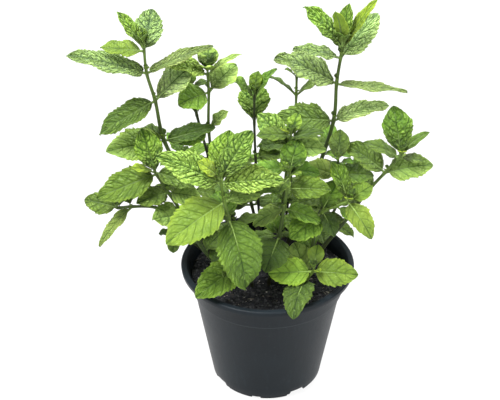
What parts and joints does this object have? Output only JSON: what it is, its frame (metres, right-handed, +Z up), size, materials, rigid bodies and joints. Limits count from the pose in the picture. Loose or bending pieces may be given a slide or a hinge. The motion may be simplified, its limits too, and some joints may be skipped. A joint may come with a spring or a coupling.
{
  "type": "potted herb",
  "caption": "Young mint plant with square stems and toothed leaves in facing pairs, growing in a tapered plastic nursery pot filled with dark soil.",
  "frame": {"origin": "middle of the pot's flat underside, on the pot's axis", "axes": "+Z up along the pot's axis, -Y towards the front, +X to the right seen from the front"},
  "size_m": [0.2565, 0.1709, 0.304],
  "materials": {
    "pot_plastic": "satin moulded polypropylene, nearly black with a bluish cast",
    "soil": "dull crumbly potting compost",
    "foliage_bright": "quilted, softly satin leaf surface, bright yellow-green",
    "foliage_green": "quilted, softly satin leaf surface, mid green",
    "foliage_deep": "quilted, softly satin leaf surface, deep green"
  },
  "bodies": {
    "root": {"pot": "pot_plastic", "potting_soil": "soil", "shoot_front_centre": "foliage_bright", "shoot_left_tall": "foliage_green", "shoot_right_tall": "foliage_green", "shoot_front_right_low": "foliage_bright", "shoot_centre": "foliage_bright", "shoot_centre_back": "foliage_green", "shoot_left_low": "foliage_green", "shoot_left_trailing": "foliage_green", "shoot_right_leaning": "foliage_green", "shoot_right_middle": "foliage_bright", "shoot_right_upright": "foliage_deep", "shoot_back_left_tall": "foliage_green", "shoot_back_left_dark": "foliage_deep", "shoot_back_centre_dark": "foliage_green", "shoot_back_centre_pale": "foliage_green", "shoot_left_short": "foliage_deep", "shoot_front_short": "foliage_deep", "shoot_rear_left": "foliage_deep", "shoot_rear_centre": "foliage_deep", "shoot_rear_right": "foliage_deep", "shoot_side_right": "foliage_deep"}
  },
  "joints": []
}
